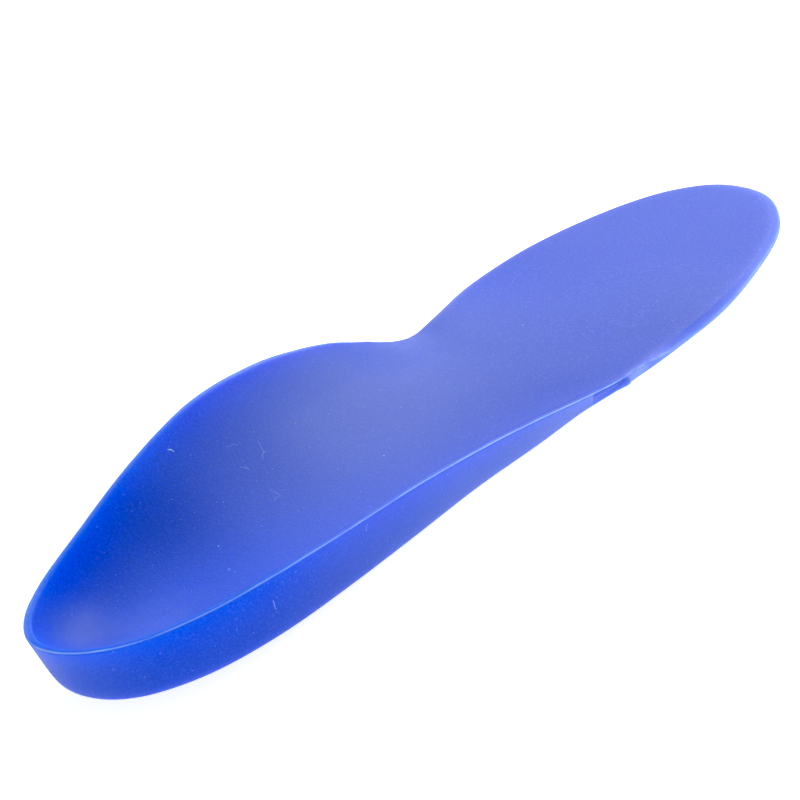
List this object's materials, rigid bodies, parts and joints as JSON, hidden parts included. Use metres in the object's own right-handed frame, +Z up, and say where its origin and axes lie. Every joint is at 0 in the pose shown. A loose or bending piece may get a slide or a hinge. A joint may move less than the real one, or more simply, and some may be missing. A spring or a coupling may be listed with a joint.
{
  "type": "orthopedic insole",
  "caption": "Full-length right-foot insole of soft blue silicone with a deep heel cup, a raised arch flange, a low outer wall and a thin flat forefoot",
  "frame": {"origin": "on the ground, under the middle of the insole's length and width", "axes": "+Y from heel to toe, +X to the outer side of the right foot, +Z up from the flat sole"},
  "size_m": [0.0862, 0.26, 0.029],
  "materials": {
    "silicone": "matte, slightly translucent moulded silicone"
  },
  "bodies": {
    "root": {"insole": "silicone"}
  },
  "joints": []
}
